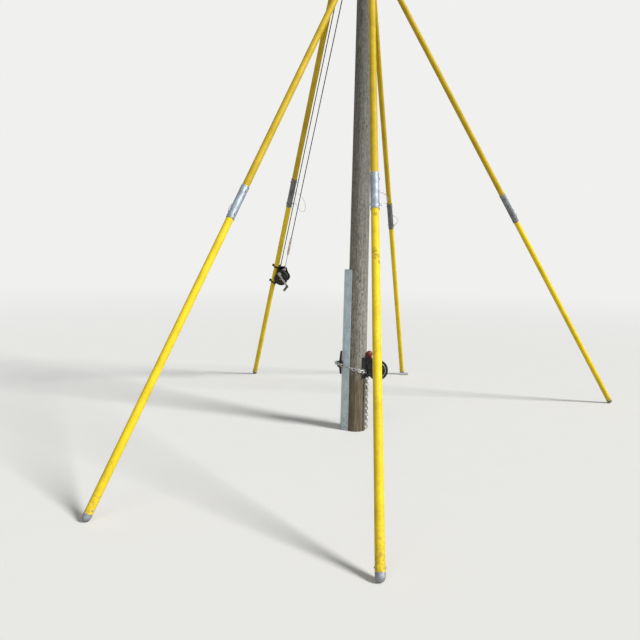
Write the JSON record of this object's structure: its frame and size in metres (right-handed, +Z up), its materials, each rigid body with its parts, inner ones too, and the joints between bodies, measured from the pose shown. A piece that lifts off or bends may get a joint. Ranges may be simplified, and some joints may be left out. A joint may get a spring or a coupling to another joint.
{
  "type": "wooden utility pole",
  "caption": "Wooden utility pole with a steel splint chained to its foot, telescopic yellow props pinned to a collar, a rope winch, and a crossarm with insulators.",
  "frame": {"origin": "centre of the pole's foot at ground level", "axes": "+Z up along the pole, -Y towards the viewer of the picture, -X towards the splint, +X towards the tensioner's lever"},
  "size_m": [4.9161, 6.081, 8.2103],
  "materials": {
    "weathered_wood": "weathered, fine lengthwise checks",
    "galvanised": "hot-dip galvanised, faint spangle",
    "black_steel": "black, semi-matt, worn",
    "chain_steel": "zinc plated, dulled",
    "bright_steel": "zinc plated",
    "red_knob": "orange-red, semi-gloss",
    "bare_aluminium": "satin",
    "yellow_paint": "yellow, semi-gloss",
    "rope_steel": "dull, greased",
    "black_grip": "matt",
    "brown_porcelain": "glazed, gloss"
  },
  "bodies": {
    "stand": {"pole_shaft": "weathered_wood", "splint_channel": "galvanised", "chain_saddle": "black_steel", "binding_chain": "chain_steel", "chain_tail": "chain_steel", "tensioner_body": "black_steel", "tensioner_cover": "black_steel", "tensioner_knob": "red_knob", "front_left_lower_tube": "yellow_paint", "front_lower_tube": "yellow_paint", "right_lower_tube": "yellow_paint", "rear_lower_tube": "yellow_paint", "rear_left_lower_tube": "yellow_paint", "front_left_upper_tube": "yellow_paint", "front_upper_tube": "yellow_paint", "right_upper_tube": "yellow_paint", "rear_upper_tube": "yellow_paint", "rear_left_upper_tube": "yellow_paint", "prop_sleeves": "bare_aluminium", "prop_lock_pins": "bright_steel", "prop_feet": "bare_aluminium", "prop_forks": "black_steel", "prop_head_pins": "bright_steel", "head_collar_front": "black_steel", "head_collar_rear": "black_steel", "collar_bolts": "galvanised", "sheave_block": "black_steel", "rope_sheave": "bright_steel", "winch_rope": "rope_steel", "rope_end_fitting": "bare_aluminium", "winch_bands": "black_steel", "winch_frame": "black_steel", "winch_guard": "black_steel", "crossarm": "galvanised", "crossarm_braces": "galvanised", "crossarm_bolts": "galvanised", "insulator_spindles": "galvanised", "insulators": "brown_porcelain"},
    "winch_drum_body": {"winch_drum": "bright_steel", "drum_rope": "rope_steel", "winch_gear": "bright_steel"},
    "winch_crank_body": {"winch_crank": "bright_steel", "winch_pinion": "bright_steel", "crank_grip": "black_grip"},
    "tensioner_lever_body": {"tensioner_lever": "bright_steel", "lever_grip": "bright_steel"}
  },
  "joints": [
    {"name": "crank_turn", "type": "hinge", "parent": "stand", "child": "winch_crank_body", "pos_m": [-0.99991, 1.85964, 1.5208], "axis": [-0.2499, -0.8641, -0.437], "continuous": true},
    {"name": "drum_turn", "type": "hinge", "parent": "stand", "child": "winch_drum_body", "pos_m": [-1.00067, 1.90043, 1.44058], "axis": [-0.2499, -0.8641, -0.437], "continuous": true},
    {"name": "lever_turn", "type": "hinge", "parent": "stand", "child": "tensioner_lever_body", "pos_m": [0.214, 0, 0.611], "axis": [0, 1, 0], "range_deg": [-60, 60]}
  ],
  "couplings": [
    {"joint": "drum_turn", "follows": "crank_turn", "ratio": -0.25}
  ]
}
